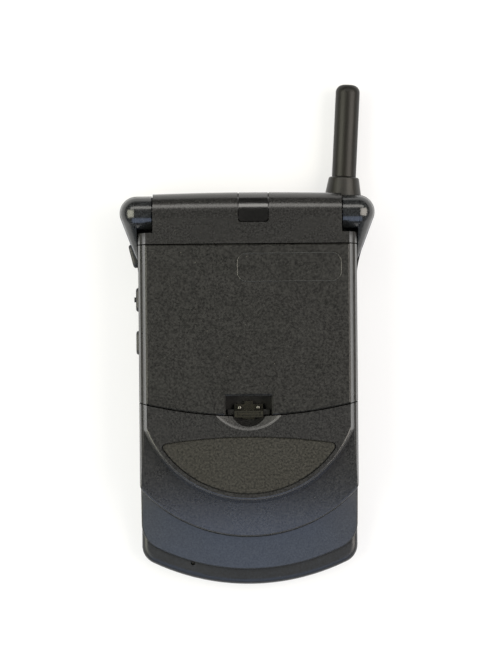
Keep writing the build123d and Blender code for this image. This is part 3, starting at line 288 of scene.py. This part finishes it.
pale_ink = printed_ink("pale_screen_ink", "D5D6D0")
ink_thickness = 0.02 * MM
digit_height = 3.1 * MM
font_size = 1.35 * digit_height    # a digit fills about three quarters of its font's size
triangle_radius = 1.3 * MM
disc_radius = 1.1 * MM
disc_sides = 24
bar_width, bar_height, bar_pitch = 3.0 * MM, 0.4 * MM, 0.8 * MM


def ink_mark(key, mesh):
    """Sets a flat mark on the top of its key."""
    low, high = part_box(key)
    mesh.transform(Matrix.Translation(((low[0] + high[0]) / 2, (low[1] + high[1]) / 2, high[2])))
    mark = bpy.data.objects.new("mark_" + key[4:], mesh)
    bpy.context.scene.collection.objects.link(mark)
    mark.data.materials.append(pale_ink)
    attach(mark, key + "_body")


def letter_plate(sign):
    """Thin plate in the outline of one sign, centred on the origin."""
    outline = bpy.data.curves.new("sign", "FONT")
    outline.body = sign
    outline.size = font_size
    outline.extrude = ink_thickness / 2
    holder = bpy.data.objects.new("sign", outline)
    mesh = bpy.data.meshes.new_from_object(holder)
    bpy.data.objects.remove(holder)
    low = [min(point.co[axis] for point in mesh.vertices) for axis in (0, 1, 2)]
    high = [max(point.co[axis] for point in mesh.vertices) for axis in (0, 1, 2)]
    mesh.transform(Matrix.Translation((-(low[0] + high[0]) / 2, -(low[1] + high[1]) / 2, -low[2])))
    return mesh


def regular_plate(sides, radius):
    """Thin plate in the outline of a regular polygon, or of a disc where it has many sides."""
    mesh = bpy.data.meshes.new("sign")
    form = bmesh.new()
    bmesh.ops.create_cone(form, cap_ends=True, segments=sides, radius1=radius, radius2=radius,
                          depth=ink_thickness, matrix=Matrix.Translation((0, 0, ink_thickness / 2)))
    form.to_mesh(mesh)
    form.free()
    return mesh


def bar_plates(count, width, height, pitch):
    """Thin bars one above the other."""
    mesh = bpy.data.meshes.new("sign")
    form = bmesh.new()
    for row in range(count):
        place = Matrix.Translation((0, (row - (count - 1) / 2) * pitch, ink_thickness / 2))
        size = Matrix.Diagonal((width, height, ink_thickness, 1))
        bmesh.ops.create_cube(form, size=1.0, matrix=place @ size)
    form.to_mesh(mesh)
    form.free()
    return mesh


signs = {"key_star": "*", "key_hash": "#", "key_clear": "C"}
for key in key_names:
    if key == "key_send":
        ink_mark(key, regular_plate(3, triangle_radius))
    elif key == "key_end":
        ink_mark(key, regular_plate(disc_sides, disc_radius))
    elif key == "key_menu":
        ink_mark(key, bar_plates(3, bar_width, bar_height, bar_pitch))
    else:
        ink_mark(key, letter_plate(signs.get(key, key[4:])))


# ---- Side buttons ----
# Three moulded rubber pills stand out of the left wall, the middle one with a round nub. The rubber
# is nearly black and dull, with a little dust.
button_rubber = moulded("moulded_black_rubber", "0E0E0F", "171718", rough=0.5, grain=0.35, dust=0.3)
dress(button_rubber, "upper_side_button", "middle_side_button", "lower_side_button")


# ---- Antenna ----
# A satin thermoplastic sheath is moulded over the coil, and a tapered collar of harder plastic
# guides it through the hinge end. Handling has given both a soft polish.
sheath_plastic = moulded("satin_overmoulded_sheath", "0D0C0A", "151411", rough=0.42, grain=0.5,
                         dust=0.25, gloss=0.2)
dress(sheath_plastic, "antenna_sheath")
collar_plastic = moulded("semi_gloss_collar", "0F0E0C", "1A1915", rough=0.38, grain=0.45, dust=0.3,
                         gloss=0.3)
dress(collar_plastic, "antenna_collar")


# ---- Lid ----
# The shell of the lid is the same kind of ABS/PC as the base. The barrel is smoother towards the
# antenna, the nameplate is a separate bare plate, and the status window is smoked, polished acrylic.
lid_abs = moulded("moulded_abs_lid", "0D0D0E", "292929", rough=0.28, dust=0.5, relief=0.45)
dress(lid_abs, "lid_shell")
plate_abs = moulded("grained_abs_nameplate", "11110F", "31302C", rough=0.3, grain=0.5, dust=0.6,
                    relief=0.45)
dress(plate_abs, "nameplate")
barrel_abs = moulded("smooth_abs_barrel", "0D0D0D", "252525", rough=0.28, dust=0.35, relief=0.45,
                     polish=("Y", 40.6, 0.25))
dress(barrel_abs, "hinge_barrel")
smoked_window = moulded("smoked_polished_acrylic", "0A0A0A", "101010", rough=0.2, grain=0.6, dust=0.15,
                        relief=0.05, gloss=0.8)
dress(smoked_window, "status_window")


# ---- Battery ----
# The battery's cover is moulded with a coarser spark texture than the lid, so its flat face
# sparkles slightly. Its floor is black nylon, and its cells are drawn aluminium cans.
battery_abs = moulded("spark_textured_abs_battery", "090909", "272726", rough=0.29, grain=0.48,
                      dust=0.55, relief=0.5)
dress(battery_abs, "battery_case")
dress(black_nylon, "battery_base")
cell_can = turned_metal("drawn_aluminium_can", "BFC0C2", rough=0.35, spacing=2.513, axis="Y")
dress(cell_can, "battery_cells")


# ---- Frame of the battery's blank label ----
# A thin round bead lies in the groove round the blank label, where it catches the light as a fine line.
# Its plastic is painted a little lighter than the battery's face, a painted highlight along the groove's
# edges.
bead_radius = 0.14 * MM
frame_width = 24.45 * MM
frame_height = 6.6 * MM
frame_corner = 2.15 * MM
frame_side_inset = 3.85 * MM    # from the battery's right side
frame_far_inset = 2.1 * MM      # from the battery's edge at the hinge
frame_drop = 0.145 * MM         # below the battery's face
corner_steps = 8


def bead_frame(name, width, height, corner, radius):
    """Round bead that follows a rounded rectangle centred on the origin."""
    outline = bpy.data.curves.new(name, "CURVE")
    outline.dimensions = "3D"
    outline.bevel_depth = radius
    outline.bevel_resolution = 3
    route = []
    for quarter, (side_x, side_y) in enumerate(((1, 1), (-1, 1), (-1, -1), (1, -1))):
        for step in range(corner_steps + 1):
            angle = math.pi / 2 * (quarter + step / corner_steps)
            route.append((side_x * (width / 2 - corner) + corner * math.cos(angle),
                          side_y * (height / 2 - corner) + corner * math.sin(angle), 0, 1))
    line = outline.splines.new("POLY")
    line.points.add(len(route) - 1)
    line.use_cyclic_u = True
    for point, place in zip(line.points, route):
        point.co = place
    holder = bpy.data.objects.new(name, outline)
    mesh = bpy.data.meshes.new_from_object(holder)
    bpy.data.objects.remove(holder)
    return mesh


case_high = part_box("battery_case")[1]    # its corner on the right, at the hinge and on top
bead_mesh = bead_frame("label_frame", frame_width, frame_height, frame_corner, bead_radius)
bead_mesh.transform(Matrix.Translation((case_high[0] - frame_side_inset - frame_width / 2,
                                        case_high[1] - frame_far_inset - frame_height / 2,
                                        case_high[2] - frame_drop)))
for face in bead_mesh.polygons:
    face.use_smooth = True
label_frame = bpy.data.objects.new("label_frame", bead_mesh)
bpy.context.scene.collection.objects.link(label_frame)
# Painted highlight: this plastic is lighter than the battery's face, so the bead reads as a lit line.
highlight_bead_abs = moulded("abs_bead_painted_highlight", "1C1C1A", "2A2A27", rough=0.3, dust=0.2, relief=0.1)
label_frame.data.materials.append(highlight_bead_abs)
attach(label_frame, "battery")


# ---- Battery latch ----
# The latch is moulded in glossy black acetal, with a recessed bar for the finger. Two dull steel
# studs are riveted to it.
latch_acetal = moulded("glossy_black_acetal", "191917", "26251F", rough=0.22, grain=0.6, dust=0.4,
                       relief=0.1)
dress(latch_acetal, "battery_latch")
stud_steel = turned_metal("dull_rivet_steel", "8A8984", rough=0.3, spacing=0.628, axis="Z")
dress(stud_steel, "latch_studs")


# ---- Floor, backdrop and light ----
# The phone lies on a plain white table that runs out of sight. Soft boxes stand round it, low
# enough that the flat faces stay dark and the rounded edges catch the light.
floor_size = 3000 * MM
floor_drop = 0.05 * MM    # keeps the table's face clear of the phone's back
floor_mesh = bpy.data.meshes.new("floor")
floor_form = bmesh.new()
bmesh.ops.create_grid(floor_form, x_segments=1, y_segments=1, size=floor_size / 2,
                      matrix=Matrix.Translation((0, 0, -floor_drop)))
floor_form.to_mesh(floor_mesh)
floor_form.free()
floor = bpy.data.objects.new("floor", floor_mesh)
bpy.context.scene.collection.objects.link(floor)


def white_table(name):
    """White table top that looks pure white but keeps a soft shadow."""
    glow_share = 0.62         # the rest is lit, and holds the phone's shadow
    mirrored_glow = 0.5       # added where a glossy face mirrors the table
    material = bpy.data.materials.new(name)
    material.use_nodes = True
    material.node_tree.nodes.clear()
    seen = add(material, "LightPath").outputs
    direct = add(material, "Math", {}, {0: seen["Is Camera Ray"], 1: seen["Is Glossy Ray"]},
                 operation="MAXIMUM")
    through = add(material, "Math", {}, {0: direct.outputs[0], 1: seen["Is Transmission Ray"]},
                  operation="MAXIMUM")
    paper = add(material, "BsdfDiffuse", {"Color": srgb("E6E6E4")})
    shade = add(material, "BsdfDiffuse", {"Color": srgb("CECECE")})
    bright = add(material, "Math", {1: mirrored_glow}, {0: seen["Is Glossy Ray"], 2: through.outputs[0]},
                 operation="MULTIPLY_ADD")
    glow = add(material, "Emission", {"Color": (1, 1, 1, 1)}, {"Strength": bright.outputs[0]})
    dim = add(material, "MixShader", {0: glow_share}, {1: shade.outputs[0], 2: glow.outputs[0]})
    plain = add(material, "MixShader", {}, {0: through.outputs[0], 1: paper.outputs[0], 2: dim.outputs[0]})
    return finish_with(material, plain.outputs[0])


floor.data.materials.append(white_table("white_table_top"))

world = bpy.data.worlds.new("studio")
bpy.context.scene.world = world
world.use_nodes = True
world.node_tree.nodes.clear()
seen = add(world, "LightPath").outputs
ambient = add(world, "Background", {"Color": (1, 1, 1, 1), "Strength": 0.05})
backdrop = add(world, "Background", {"Color": (1, 1, 1, 1), "Strength": 1.0})
shown = add(world, "MixShader", {}, {0: seen["Is Camera Ray"], 1: ambient.outputs[0],
                                     2: backdrop.outputs[0]})
add(world, "OutputWorld", links={"Surface": shown.outputs[0]})


def soft_box(name, turn, low, high, breadth, distance, brightness, tint):
    """Soft light aimed at the phone. Its place is a turn round the phone from the right-hand side, the
    heights of its lower and upper edge and its breadth, all in degrees as the phone sees them. Its
    distance is in metres, and its brightness is that of its face."""
    aim = Vector((0, 12 * MM, 10 * MM))
    lamp = bpy.data.lights.new(name, "AREA")
    lamp.shape = "RECTANGLE"
    lamp.size = 2 * distance * math.tan(math.radians(breadth / 2))
    lamp.size_y = 2 * distance * math.tan(math.radians((high - low) / 2))
    lamp.energy = brightness * math.pi * lamp.size * lamp.size_y
    lamp.color = srgb(tint)[:3]
    holder = bpy.data.objects.new(name, lamp)
    bpy.context.scene.collection.objects.link(holder)
    rise = math.radians((low + high) / 2)
    swing = math.radians(turn)
    away = Vector((math.cos(rise) * math.cos(swing), math.cos(rise) * math.sin(swing), math.sin(rise)))
    holder.location = aim + away * distance
    holder.rotation_euler = (-away).to_track_quat("-Z", "Y").to_euler()


soft_box("far_box", turn=90, low=40, high=58, breadth=76, distance=0.7, brightness=4.7, tint="FFFCF6")
soft_box("left_box", turn=180, low=24, high=65, breadth=46, distance=0.6, brightness=7.2, tint="FFFDE8")
soft_box("right_box", turn=0, low=24, high=65, breadth=46, distance=0.6, brightness=8.1, tint="FFF7EC")
soft_box("near_box", turn=-90, low=22, high=57, breadth=60, distance=0.6, brightness=2.2, tint="C8DAFF")


# ---- Camera ----
# The camera looks straight down on the closed phone from well above it, with the antenna up and the
# phone turned very slightly.
view_centre = Vector((0.68 * MM, 12.7 * MM, 19 * MM))
view_distance = 600 * MM
view_height = 157.5 * MM
view_turn = math.radians(-0.48)
camera_data = bpy.data.cameras.new("camera")
camera_data.sensor_width = 36.0
camera_data.lens = camera_data.sensor_width * view_distance / view_height
camera = bpy.data.objects.new("camera", camera_data)
bpy.context.scene.collection.objects.link(camera)
camera.location = view_centre + Vector((0, 0, view_distance))
camera.rotation_euler = (0, 0, view_turn)
bpy.context.scene.camera = camera
bpy.context.scene.view_settings.view_transform = "Standard"
